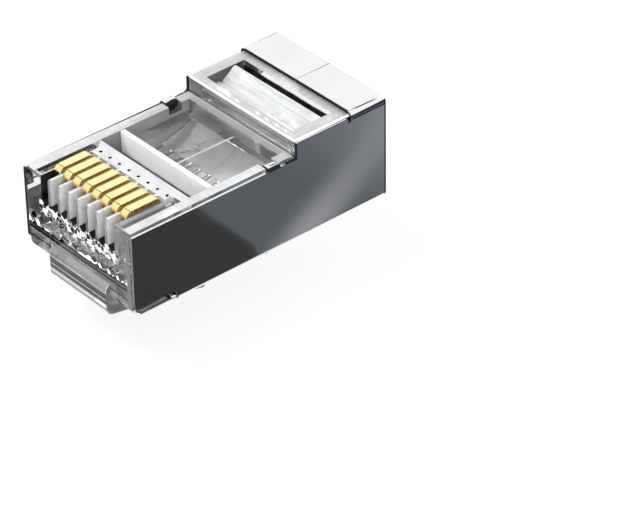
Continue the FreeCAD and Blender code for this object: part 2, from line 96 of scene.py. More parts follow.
class Sock:
    """A node socket or a plain number, with operators that add Math nodes."""

    def __init__(self, tree: "NodeTree", value: object) -> None:
        """Keep the tree and the socket or number."""
        self.tree = tree
        self.value = value

    def _math(self, operation: str, first: "Number", second: "Number") -> "Sock":
        """One Math node on two values."""
        return self.tree.node("ShaderNodeMath", {"operation": operation}, {0: first, 1: second})

    def __add__(self, other: "Number") -> "Sock":
        """Sum."""
        return self._math("ADD", self, other)

    def __radd__(self, other: "Number") -> "Sock":
        """Sum with a number on the left."""
        return self._math("ADD", other, self)

    def __sub__(self, other: "Number") -> "Sock":
        """Difference."""
        return self._math("SUBTRACT", self, other)

    def __rsub__(self, other: "Number") -> "Sock":
        """Difference with a number on the left."""
        return self._math("SUBTRACT", other, self)

    def __mul__(self, other: "Number") -> "Sock":
        """Product."""
        return self._math("MULTIPLY", self, other)

    def __rmul__(self, other: "Number") -> "Sock":
        """Product with a number on the left."""
        return self._math("MULTIPLY", other, self)

    def __truediv__(self, other: "Number") -> "Sock":
        """Quotient."""
        return self._math("DIVIDE", self, other)

    def __gt__(self, other: "Number") -> "Sock":
        """1 where this is the greater, else 0."""
        return self._math("GREATER_THAN", self, other)

    def __lt__(self, other: "Number") -> "Sock":
        """1 where this is the smaller, else 0."""
        return self._math("LESS_THAN", self, other)

    def size(self) -> "Sock":
        """Value without its sign."""
        return self._math("ABSOLUTE", self, 0.0)

    def most(self, other: "Number") -> "Sock":
        """Greater of the two."""
        return self._math("MAXIMUM", self, other)

    def least(self, other: "Number") -> "Sock":
        """Smaller of the two."""
        return self._math("MINIMUM", self, other)

    def over(self, edge: float, width: float) -> "Sock":
        """Soft step that rises from 0 to 1 across the edge.

        Args:
            edge: value at the middle of the step.
            width: full width of the step.

        Returns:
            The step, held between 0 and 1.
        """
        settings = {"clamp": True, "interpolation_type": "SMOOTHSTEP"}
        values = {"Value": self, "From Min": edge - width / 2, "From Max": edge + width / 2}
        return self.tree.node("ShaderNodeMapRange", settings, values)

    def between(self, low: float, high: float, soft: float) -> "Sock":
        """Soft mask that is 1 from low to high and 0 outside."""
        return self.over(low, soft) * (1.0 - self.over(high, soft))

    def within(self, middle: float, reach: float, soft: float) -> "Sock":
        """Soft mask that is 1 within a reach of the middle and 0 beyond it."""
        return 1.0 - (self - middle).size().over(reach, soft)


Number = Union[Sock, float, int]


class NodeTree:
    """A node tree with a single method that adds nodes."""

    def __init__(self, tree: bpy.types.NodeTree) -> None:
        """Take over a tree and empty it."""
        self.tree = tree
        tree.nodes.clear()

    def node(
        self,
        kind: str,
        settings: dict[str, object],
        values: dict[Union[str, int], object],
        out: Union[str, int] = 0,
    ) -> Sock:
        """Add a node, set its settings, then fill or link its sockets.

        Args:
            kind: Blender's node type.
            settings: attributes of the node, set first.
            values: numbers, colours or Socks for its input sockets, or a list of Socks for one that joins.
            out: name or number of the output that is returned.

        Returns:
            The chosen output.
        """
        made = self.tree.nodes.new(kind)
        for key, value in settings.items():
            setattr(made, key, value)
        for key, value in values.items():
            socket = made.inputs[key]
            for one in value if isinstance(value, list) else [value]:
                plain = one.value if isinstance(one, Sock) else one
                if isinstance(plain, bpy.types.NodeSocket):
                    self.tree.links.new(plain, socket)
                elif socket.type == "RGBA" and len(plain) == 3:
                    socket.default_value = (*plain, 1.0)
                else:
                    socket.default_value = plain
        return Sock(self, made.outputs[out] if len(made.outputs) else None)

    def rays(self) -> tuple[Sock, Sock]:
        """Masks of the rays that show the background, and of those among them that come through clear pieces.

        Returns:
            Camera, mirror and refracted rays together, then refracted rays alone.
        """
        names = ("Is Camera Ray", "Is Glossy Ray", "Is Transmission Ray")
        camera, glossy, through = (self.node("ShaderNodeLightPath", {}, {}, name) for name in names)
        return camera + glossy + through, through


class ShaderTree(NodeTree):
    """One material's nodes."""

    def __init__(self, name: str) -> None:
        """Start an empty material.

        Args:
            name: name of the material.
        """
        self.material = bpy.data.materials.new(name)
        self.material.use_nodes = True
        super().__init__(self.material.node_tree)

    def place(self) -> Sock:
        """Object coordinates, in metres."""
        return self.node("ShaderNodeTexCoord", {}, {}, "Object")

    def along(self, axis: str) -> Sock:
        """Object coordinate along X, Y or Z, in millimetres."""
        return self.node("ShaderNodeSeparateXYZ", {}, {"Vector": self.place()}, axis) / MM

    def stretched(self, repeats: Triple) -> Sock:
        """Object coordinates with their own number of repeats for each metre along X, Y and Z."""
        return self.node("ShaderNodeMapping", {}, {"Vector": self.place(), "Scale": repeats})

    def grain(self, repeats: Triple, detail: float = 3.0) -> Sock:
        """Noise between 0 and 1 with its own number of repeats for each metre along X, Y and Z."""
        return self.noise(self.stretched(repeats), 1.0, detail)

    def noise(self, vector: Sock, scale: float, detail: float = 3.0, roughness: float = 0.55) -> Sock:
        """Smooth noise between 0 and 1.

        Args:
            vector: where to read it.
            scale: features for each unit of the vector.
            detail: octaves.
            roughness: weight of each octave against the one before it.

        Returns:
            The noise value.
        """
        values = {"Vector": vector, "Scale": scale, "Detail": detail, "Roughness": roughness}
        return self.node("ShaderNodeTexNoise", {}, values)

    def scratches(self, vector: Sock, scale: float, width: float) -> Sock:
        """Thin lines along the ridges of a cell pattern, 1 on a line and 0 elsewhere.

        Args:
            vector: where to read it.
            scale: cells for each unit of the vector.
            width: line width as a share of a cell.

        Returns:
            The line mask.
        """
        values = {"Vector": vector, "Scale": scale}
        edge = self.node("ShaderNodeTexVoronoi", {"feature": "DISTANCE_TO_EDGE"}, values)
        return 1.0 - edge.over(width, width)

    def mark(self, mark: Mark) -> Sock:
        """Value of one of the piece's face attributes."""
        return self.node("ShaderNodeAttribute", {"attribute_name": mark.value}, {}, "Fac")

    def blend(self, factor: Number, low: object, high: object) -> Sock:
        """Mix two colours.

        Args:
            factor: 0 gives low, 1 gives high.
            low: first colour.
            high: second colour.

        Returns:
            The mixed colour.
        """
        settings = {"data_type": "RGBA", "clamp_factor": True}
        return self.node("ShaderNodeMix", settings, {0: factor, 6: low, 7: high}, 2)

    def mixed(self, factor: Number, low: Sock, high: Sock) -> Sock:
        """Mix two shaders: factor 0 gives low, 1 gives high."""
        return self.node("ShaderNodeMixShader", {}, {0: factor, 1: low, 2: high})

    def bump(self, height: Sock, distance: float, strength: float = 0.25) -> Sock:
        """Surface normal from a height between 0 and 1 that spans this distance in metres."""
        return self.node("ShaderNodeBump", {}, {"Height": height, "Distance": distance, "Strength": strength})

    def principled(self, inputs: dict[str, object]) -> Sock:
        """Principled shader with these inputs."""
        return self.node("ShaderNodeBsdfPrincipled", {}, inputs)

    def plain(self, colour: Colour, roughness: Number) -> Sock:
        """Opaque shader of one colour."""
        return self.principled({"Base Color": colour, "Roughness": roughness})

    def finish(self, shader: Sock) -> bpy.types.Material:
        """Link a shader to the output and return the material."""
        self.node("ShaderNodeOutputMaterial", {"target": "ALL"}, {"Surface": shader})
        return self.material


class FormTree(NodeTree):
    """A Geometry Nodes tree with named sizes, turned into plain meshes."""

    def __init__(self, name: str) -> None:
        """Start an empty tree with one output.

        Args:
            name: name of the tree.
        """
        super().__init__(bpy.data.node_groups.new(name, "GeometryNodeTree"))
        self.tree.interface.new_socket("Form", in_out="OUTPUT", socket_type="NodeSocketGeometry")
        self._sizes = self.tree.nodes.new("NodeGroupInput")

    def size(self, name: str) -> Sock:
        """Add a named length or number as an input of the tree."""
        self.tree.interface.new_socket(name, in_out="INPUT", socket_type="NodeSocketFloat")
        return Sock(self, self._sizes.outputs[name])

    def vector(self, x: Number = 0.0, y: Number = 0.0, z: Number = 0.0) -> Sock:
        """Vector from three values."""
        return self.node("ShaderNodeCombineXYZ", {}, {"X": x, "Y": y, "Z": z})

    def moved(self, form: Sock, shift: Sock, turn: Sock, scale: Sock) -> Sock:
        """Form scaled, turned and then shifted."""
        values = {"Geometry": form, "Translation": shift, "Rotation": turn, "Scale": scale}
        return self.node("GeometryNodeTransform", {}, values)

    def plate(self, curve: Sock, thickness: Sock) -> Sock:
        """Closed plate from a flat closed curve, half its thickness on each side.

        Args:
            curve: closed curve on the XY plane.
            thickness: full thickness along Z.

        Returns:
            The closed plate.
        """
        face = self.node("GeometryNodeFillCurve", {"mode": "NGONS"}, {"Curve": curve})
        face = self.moved(face, self.vector(z=thickness * -0.5), self.vector(), self.vector(1.0, 1.0, 1.0))
        up = self.vector(z=1.0)
        values = {"Mesh": face, "Offset": up, "Offset Scale": thickness, "Individual": False}
        walls = self.node("GeometryNodeExtrudeMesh", {"mode": "FACES"}, values)
        cap = self.node("GeometryNodeFlipFaces", {}, {"Mesh": face})
        joined = self.node("GeometryNodeJoinGeometry", {}, {"Geometry": [walls, cap]})
        return self.node("GeometryNodeMergeByDistance", {}, {"Geometry": joined, "Distance": 0.001 * MM})

    def finish(self, form: Sock, material: bpy.types.Material) -> None:
        """Realize the form, give it its material and link it to the output.

        Args:
            form: the whole form.
            material: its finish.
        """
        real = self.node("GeometryNodeRealizeInstances", {}, {"Geometry": form})
        dressed = self.node("GeometryNodeSetMaterial", {}, {"Geometry": real, "Material": material})
        self.node("NodeGroupOutput", {}, {"Form": dressed})

    def made(self, name: str, sizes: dict[str, float]) -> bpy.types.Object:
        """Run the tree with these sizes and keep the result as a plain mesh object.

        Args:
            name: name of the piece.
            sizes: value of each named input.

        Returns:
            The piece, at the origin and with no modifier.
        """
        piece = placed(name, bpy.data.meshes.new(name))
        modifier = piece.modifiers.new("form", "NODES")
        modifier.node_group = self.tree
        for item in self.tree.interface.items_tree:
            if item.in_out == "INPUT":
                modifier[item.identifier] = sizes[item.name]
        keep_evaluated(piece)
        return piece


def placed(name: str, data: bpy.types.ID) -> bpy.types.Object:
    """Put a new object in the scene, at the origin.

    Args:
        name: the object's name.
        data: its mesh, lamp or camera.

    Returns:
        The object.
    """
    made = bpy.data.objects.new(name, data)
    bpy.context.scene.collection.objects.link(made)
    return made


def keep_evaluated(piece: bpy.types.Object) -> None:
    """Replace a piece's mesh with what its modifiers make of it, and remove them.

    Args:
        piece: the piece to settle.
    """
    graph = bpy.context.evaluated_depsgraph_get()
    shown = piece.evaluated_get(graph)
    mesh = bpy.data.meshes.new_from_object(shown, preserve_all_data_layers=True, depsgraph=graph)
    piece.modifiers.clear()
    piece.data = mesh


def round_edges(
    piece: bpy.types.Object,
    width: float,
    angle: float,
    segments: int = 2,
    slot: int = -1,
    weight: int = 80,
) -> None:
    """Bevel a piece's sharp edges and keep its large faces flat in shading.

    Args:
        piece: the piece to round.
        width: bevel width in metres.
        angle: least angle of a sharp edge, in degrees.
        segments: faces across the bevel.
        slot: material slot of the bevel's faces, or -1 for that of their neighbours.
        weight: how far the largest faces rule the shading, where 50 is neutral.
    """
    for polygon in piece.data.polygons:
        polygon.use_smooth = True
    bevel = piece.modifiers.new("edges", "BEVEL")
    bevel.width = width
    bevel.segments = segments
    bevel.limit_method = "ANGLE"
    bevel.angle_limit = math.radians(angle)
    bevel.material = slot
    bevel.face_strength_mode = "FSTR_ALL"
    flat = piece.modifiers.new("flat_faces", "WEIGHTED_NORMAL")
    flat.weight = weight
    flat.use_face_influence = True
    flat.keep_sharp = True
    keep_evaluated(piece)


def mark_faces(piece: bpy.types.Object, mark: Mark, test: Callable[[Vector, Vector], bool]) -> None:
    """Write a face attribute that is 1 where the test holds.

    Args:
        piece: the piece to mark.
        mark: the attribute.
        test: takes a face's centre and normal.
    """
    values = piece.data.attributes.new(mark.value, "FLOAT", "FACE").data
    for polygon, value in zip(piece.data.polygons, values):
        value.value = 1.0 if test(polygon.center, polygon.normal) else 0.0


def above(bound: float) -> Span:
    """Span from a bound upwards."""
    return (bound, math.inf)


def below(bound: float) -> Span:
    """Span up to a bound."""
    return (-math.inf, bound)


def around(middle: float, reach: float) -> Span:
    """Span on both sides of a value."""
    return (middle - reach, middle + reach)


@dataclass(frozen=True)
class Region:
    """Faces whose centre, in metres, and unit normal lie inside every span.

    x, y and z bound the centre, and aside bounds x without its sign. right, rear and up bound the normal
    along X, Y and Z, and across bounds right without its sign.
    """

    slot: int = 0
    x: Span = ANY
    aside: Span = ANY
    y: Span = ANY
    z: Span = ANY
    right: Span = ANY
    across: Span = ANY
    rear: Span = ANY
    up: Span = ANY

    def holds(self, centre: Vector, normal: Vector) -> bool:
        """True for a face of this region.

        Args:
            centre: the face's centre.
            normal: the face's normal.

        Returns:
            Whether the face lies inside every span.
        """
        spans = (self.x, self.aside, self.y, self.z, self.right, self.across, self.rear, self.up)
        place = (centre.x, abs(centre.x), centre.y, centre.z)
        facing = (normal.x, abs(normal.x), normal.y, normal.z)
        return all(low < value < high for (low, high), value in zip(spans, place + facing))


def paint(piece: bpy.types.Object, regions: Sequence[Region]) -> None:
    """Give each face the material slot of the first region that holds it.

    Args:
        piece: the piece to paint.
        regions: the regions, first match first.
    """
    for polygon in piece.data.polygons:
        centre, normal = polygon.center, polygon.normal
        for region in regions:
            if region.holds(centre, normal):
                polygon.material_index = region.slot
                break


def grey(level: float, step: float = 0.005) -> Colour:
    """Cool grey, lighter by a step in green and by two in blue."""
    return (level, level + step, level + 2 * step)


class Finish:
    """A finish, made into one material."""

    name: str

    def build(self) -> bpy.types.Material:
        """Make the material."""
        tree = ShaderTree(self.name)
        return tree.finish(self.shader(tree))

    def shader(self, tree: ShaderTree) -> Sock:
        """Add this finish's nodes to a tree and return its shader."""
        raise NotImplementedError


@dataclass(frozen=True)
class ClearMoulding(Finish):
    """Clear polycarbonate: flow lines, handling haze, streaks along the flow and dark bands of painted shade
    across it.
    """

    name: str = "clear_moulding"
    tint: Colour = grey(0.975)
    haze_tint: Colour = grey(0.93, 0.01)
    streak_tint: Colour = grey(0.97)
    refraction: float = 1.35
    clarity: float = 1.0
    smooth: float = 0.01
    hazed: float = 0.07
    haze_scale: float = 700.0
    haze_step: Pair = (0.62, 0.3)
    streaks: Triple = (350.0, 6000.0, 2500.0)
    streak_step: Pair = (0.5, 0.35)
    flow: Triple = (900.0, 220.0, 900.0)
    flow_depth: float = 0.003 * MM
    # Dark bands of painted shade, each from and to a height in millimetres, with their colour and softness.
    shade_bands: tuple[Span, ...] = ()
    shade_band_tint: Colour = (0.01, 0.01, 0.011)
    shade_band_soft: float = 0.06

    def shader(self, tree: ShaderTree) -> Sock:
        """Add this finish's nodes to a tree.

        Args:
            tree: the material's tree.

        Returns:
            The shader.
        """
        haze = tree.noise(tree.place(), self.haze_scale, 4.0).over(*self.haze_step)
        streaks = tree.grain(self.streaks, 2.0).over(*self.streak_step)
        colour = tree.blend(haze, tree.blend(streaks, self.tint, self.streak_tint), self.haze_tint)
        # Paint each dark band of shade into the colour.
        for low, high in self.shade_bands:
            band = tree.along("Z").between(low, high, self.shade_band_soft)
            colour = tree.blend(band, colour, self.shade_band_tint)
        surface = {
            "Base Color": colour,
            "Roughness": haze * (self.hazed - self.smooth) + self.smooth,
            "IOR": self.refraction,
            "Transmission Weight": self.clarity,
            "Normal": tree.bump(tree.grain(self.flow), self.flow_depth),
        }
        return tree.principled(surface)


@dataclass(frozen=True)
class ShadedMoulding(Finish):
    """Moulding with a cloudy zone of painted shade that ends at a height and reaches down from it."""

    name: str
    clear: ClearMoulding
    line: float
    depth: float = 100.0
    soft: float = 0.12
    clouds: Triple = (900.0, 900.0, 300.0)
    shade: Colour = (0.004, 0.004, 0.005)
    gloss: float = 0.25

    def shader(self, tree: ShaderTree) -> Sock:
        """Add this finish's nodes to a tree.

        Args:
            tree: the material's tree.

        Returns:
            The shader.
        """
        cloud = tree.grain(self.clouds)
        height = tree.along("Z") - self.line + cloud * self.soft
        lit = height.over(0.0, self.soft) + (1.0 - height.over(-self.depth, self.soft))
        dark = tree.plain(self.shade, cloud * self.gloss + self.gloss / 2)
        return tree.mixed(lit, dark, self.clear.shader(tree))


@dataclass(frozen=True)
class NoseMoulding(Finish):
    """Front face of the moulding in painted light and shade: broken light and dark glints under the comb, a
    darker grey foot and a shaded end band.
    """

    clear: ClearMoulding
    bright: ClearMoulding
    foot: ClearMoulding
    end_x: float
    name: str = "nose_wall"
    # Cells of painted light and dark glints under the comb, sized and placed in millimetres.
    facet: Pair = (0.36, 0.3)
    facets_z: Span = (3.72, 4.8)
    facets_x: float = 4.25
    facet_line: float = 0.03
    facet_soft: float = 0.04
    light: float = 0.68
    dark: float = 0.32
    row_z: float = 4.15
    row_reach: float = 0.3
    row_gain: float = 0.08
    foot_z: Span = (0.5, 2.3)
    soft: float = 0.1
    shade: Colour = (0.1, 0.1, 0.105)
    shade_gloss: float = 0.25
    # Near black of the dark glints, painted shade.
    dark_glint: Colour = (0.006, 0.006, 0.007)
    dark_glint_gloss: float = 0.2

    def shader(self, tree: ShaderTree) -> Sock:
        """Add this finish's nodes to a tree.

        Args:
            tree: the material's tree.

        Returns:
            The shader.
        """
        x, z = tree.along("X"), tree.along("Z")
        across, up = (1.0 / (size * MM) for size in self.facet)
        place = tree.stretched((across, 0.0, up))
        cells = {"Vector": place, "Scale": 1.0}
        cells = tree.node("ShaderNodeTexVoronoi", {"feature": "F1"}, cells, "Color")
        cells = tree.node("ShaderNodeRGBToBW", {}, {"Color": cells})
        lines = tree.scratches(place, 1.0, self.facet_line)
        zone = z.between(*self.facets_z, self.soft) * x.within(0.0, self.facets_x, self.soft)
        row = z.within(self.row_z, self.row_reach, self.soft)
        # Painted glints: light in the lighter cells and on the cell lines, more of them in a row, dark in the
        # darkest cells.
        light = (cells + row * self.row_gain).over(self.light, self.facet_soft).most(lines)
        dark = (1.0 - lines) * (1.0 - cells.over(self.dark, self.facet_soft))
        foot = z.between(*self.foot_z, self.soft)
        black = {"Base Color": self.dark_glint, "Roughness": self.dark_glint_gloss, "Specular IOR Level": self.dark_glint_gloss}
        shader = tree.mixed(foot, self.clear.shader(tree), self.foot.shader(tree))
        shader = tree.mixed(light * zone, shader, self.bright.shader(tree))
        shader = tree.mixed(dark * zone, shader, tree.principled(black))
        band = tree.plain(self.shade, self.shade_gloss)
        return tree.mixed(x.over(self.end_x, self.soft), shader, band)


@dataclass(frozen=True)
class DeckMoulding(Finish):
    """Top faces of the moulding: satin walls, a clear ledge behind the window in a darker grey of painted
    shade, and painted shade before the strap.
    """

    satin: ClearMoulding
    clear: ClearMoulding
    wall_x: float
    rear_y: float
    strap_y: float
    name: str = "deck_moulding"
    soft: float = 0.02
    shade: Colour = (0.02, 0.02, 0.022)
    shade_gloss: float = 0.3
    shade_reach: float = 1.4

    def shader(self, tree: ShaderTree) -> Sock:
        """Add this finish's nodes to a tree.

        Args:
            tree: the material's tree.

        Returns:
            The shader.
        """
        rear = tree.along("Y").over(self.rear_y, self.soft)
        satin = tree.along("X").size().over(self.wall_x, self.soft).most(rear)
        top = tree.mixed(satin, self.clear.shader(tree), self.satin.shader(tree))
        shaded = tree.along("Y").over(self.strap_y, self.shade_reach)
        return tree.mixed(shaded, top, tree.plain(self.shade, self.shade_gloss))


@dataclass(frozen=True)
class NickelSheet(Finish):
    """Bright nickel on rolled sheet: rolling lines, fine scratches, satin inside, and dull cut edges and
    lines painted near black as shade.
    """

    rear_y: float
    side_x: float
    top_z: float
    strap_y: float
    name: str = "nickel_sheet"
    plate: Colour = grey(0.93, 0.01)
    worn: Colour = grey(0.86, 0.01)
    inside: Colour = grey(0.5)
    # Near black of the cut edges and lines: their dullness is the cut metal's, their darkness painted shade
    # and reflection.
    cut_and_shade: Colour = (0.012, 0.012, 0.013)
    # Dark grey painted as shade on the near side's front edge.
    front: Colour = (0.13, 0.13, 0.135)
    # Places and widths in millimetres of the painted dark lines at the front edge, step, tab, fold, strap's
    # rim and mouth.
    front_y: float = 0.3
    step_y: float = 13.78
    step_z: float = 6.58
    step_reach: float = 0.5
    tab_y: float = 12.3
    tab_reach: float = 0.55
    fold: float = 0.5
    fold_line: float = 0.07
    rim: float = 0.08
    # Width of the painted dark line at the mouth, and the measure of the bands by the side wall.
    mouth_shade: float = 0.14
    polished: float = 0.07
    rubbed: float = 0.15
    satin: float = 0.42
    edge_gloss: float = 0.15
    rolling: Triple = (9000.0, 260.0, 9000.0)
    scratched: Triple = (300.0, 90.0, 420.0)
    scratch_width: float = 0.006
    scratch_depth: float = 0.4
    wear: Triple = (0.4, 0.6, 0.5)
    cloud_scale: float = 260.0
    cloud_step: Pair = (0.55, 0.5)
    relief: float = 0.0012 * MM

    def shader(self, tree: ShaderTree) -> Sock:
        """Add this finish's nodes to a tree.

        Args:
            tree: the material's tree.

        Returns:
            The shader.
        """
        rolling = tree.grain(self.rolling)
        cloud = tree.noise(tree.place(), self.cloud_scale)
        lines = tree.scratches(tree.stretched(self.scratched), 1.0, self.scratch_width)
        inner = tree.mark(Mark.INNER)
        rolled, clouded, scratched = self.wear
        rubbed = rolling * rolled + cloud * clouded + lines * scratched
        rubbed = rubbed * (self.rubbed - self.polished) + self.polished
        plated = tree.blend(cloud.over(*self.cloud_step), self.plate, self.worn)
        sheet = {
            "Base Color": tree.blend(inner, plated, self.inside),
            "Metallic": 1.0,
            "Roughness": rubbed + inner * self.satin,
            "Normal": tree.bump(rolling - lines * self.scratch_depth, self.relief),
        }
        # The near side's front edge is painted dark grey as shade, the other cut edges and lines near black.
        nose = (tree.along("Y") < self.front_y) * (tree.along("X") > 0.0)
        edge = {
            "Base Color": tree.blend(nose, self.cut_and_shade, self.front),
            "Roughness": rolling * self.satin + self.rubbed,
            "Specular IOR Level": self.edge_gloss,
        }
        return tree.mixed(self._cut_edges_and_shade_lines(tree), tree.principled(sheet), tree.principled(edge))

    def _cut_edges_and_shade_lines(self, tree: ShaderTree) -> Sock:
        """Mask of the cut edges and of the painted dark lines of shade at the mouth, the strap's rim and the
        step, tab and fold.

        Args:
            tree: the material's tree.

        Returns:
            The mask, 1 or more on the cut edges and on the painted lines.
        """
        x, y, z = tree.along("X").size(), tree.along("Y"), tree.along("Z")
        side = x.over(self.side_x - self.mouth_shade / 2, self.mouth_shade / 2)
        mouth_shade = side * y.over(self.rear_y - self.mouth_shade, self.mouth_shade / 3)
        strap = (z > self.top_z - self.rim) * (y < self.strap_y + self.rim)
        strap = strap * (x < self.side_x - self.mouth_shade * 3)
        step = (z > self.step_z) * ((y - self.step_y).size() < self.step_reach)
        tab = (z > self.step_z) * ((y - self.tab_y).size() < self.tab_reach)
        tab = tab * (x > self.side_x - self.mouth_shade)
        fold = (z - (self.top_z - self.fold)).size() < self.fold_line
        fold = fold * (y > self.strap_y + self.rim) * side
        return tree.mark(Mark.CUT).most(mouth_shade + strap + step + tab + fold)


@dataclass(frozen=True)
class GoldPlate(Finish):
    """Gold on stamped bronze: pale tops, browner sheared sides, and painted shade on an amber front, browner
    low down, and a dark crease line.
    """

    line_y: float
    name: str = "gold_plate"
    gold: Colour = (1.0, 0.98, 0.54)
    deep: Colour = (1.0, 0.93, 0.47)
    sheared: Colour = (0.68, 0.46, 0.13)
    # Painted shade on the front: amber above a height and brown below it.
    front: Colour = (1.0, 0.86, 0.4)
    tip: Colour = (0.8, 0.5, 0.12)
    tip_z: float = 6.8
    tip_reach: float = 0.5
    # Dark line of painted shade where the flat top turns into the rounded front.
    crease: Colour = (0.4, 0.28, 0.08)
    line_width: float = 0.03
    polished: float = 0.1
    stamped: float = 0.22
    stamping: Triple = (700.0, 9000.0, 700.0)
    cloud_scale: float = 900.0
    cloud_step: Pair = (0.6, 0.5)
    relief: float = 0.01 * MM
    line_relief: float = 0.4

    def shader(self, tree: ShaderTree) -> Sock:
        """Add this finish's nodes to a tree.

        Args:
            tree: the material's tree.

        Returns:
            The shader.
        """
        lines = tree.grain(self.stamping)
        cloud = tree.noise(tree.place(), self.cloud_scale)
        side = tree.mark(Mark.SHEARED)
        # Painted shade: a dark crease line, then the front ahead of it amber and browner towards the bottom.
        crease_line = tree.along("Y").within(self.line_y, self.line_width, self.line_width)
        plated = tree.blend(cloud.over(*self.cloud_step), self.gold, self.deep)
        front = tree.blend(tree.along("Z").over(self.tip_z, self.tip_reach), self.tip, self.front)
        plated = tree.blend(tree.along("Y") < self.line_y, plated, front)
        plated = tree.blend(crease_line, plated, self.crease)
        surface = {
            "Base Color": tree.blend(side, plated, self.sheared),
            "Metallic": 1.0,
            "Roughness": lines * (self.stamped - self.polished) + side * self.polished + self.polished,
            "Normal": tree.bump(lines * self.line_relief - crease_line, self.relief),
        }
        return tree.principled(surface)


@dataclass
class DressedNode:
    """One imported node, copied, welded and given fine rounded edges, which then stands for it."""

    node: str
    body: str
    slot: str
    bevel: float
    shrink: float = 0.0
    sharp: float = 32.0
    weld: float = 0.002 * MM
    flat: float = 0.5

    def build(self, *finishes: bpy.types.Material) -> bpy.types.Object:
        """Make the dressed copy and ride it on its body.

        Args:
            finishes: finish of the whole piece, then that of its rounded edges where it has its own.

        Returns:
            The dressed piece.
        """
        name = self.node + "_dressed"
        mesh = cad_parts[self.node].data.copy()
        mesh.name = name
        welded = bmesh.new()
        welded.from_mesh(mesh)
        bmesh.ops.remove_doubles(welded, verts=welded.verts, dist=self.weld)
        flat = math.radians(self.flat)
        bmesh.ops.dissolve_limit(welded, angle_limit=flat, verts=welded.verts, edges=welded.edges)
        welded.normal_update()
        for vertex in welded.verts:
            vertex.co -= vertex.normal * self.shrink * vertex.calc_shell_factor()
        welded.to_mesh(mesh)
        welded.free()
        mesh.materials.clear()
        for finish in finishes:
            mesh.materials.append(finish)
        piece = placed(name, mesh)
        round_edges(piece, self.bevel, self.sharp, slot=len(finishes) - 1)
        attach(piece, self.body, self.node)
        return piece


def attach(piece: bpy.types.Object, body: str, node: str) -> None:
    """Ride a finished piece on its body in place of its node.

    Args:
        piece: the finished piece.
        body: body that carries it.
        node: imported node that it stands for.
    """
    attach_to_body(piece, body)
    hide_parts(node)
    LOG.info("%s: %d faces, rides on %s", piece.name, len(piece.data.polygons), body)


def add_slot(piece: bpy.types.Object, finish: Finish) -> int:
    """Add a finish to a piece and return its material slot."""
    piece.data.materials.append(finish.build())
    return len(piece.data.materials) - 1


@dataclass(frozen=True)
class BodySlots:
    """Material slots of the moulded body, apart from its polished walls."""

    rim: int
    deck: int
    eroded: int
    dark: int
    gap: int
    nose: int
    window: int
    riser: int
    wall: int


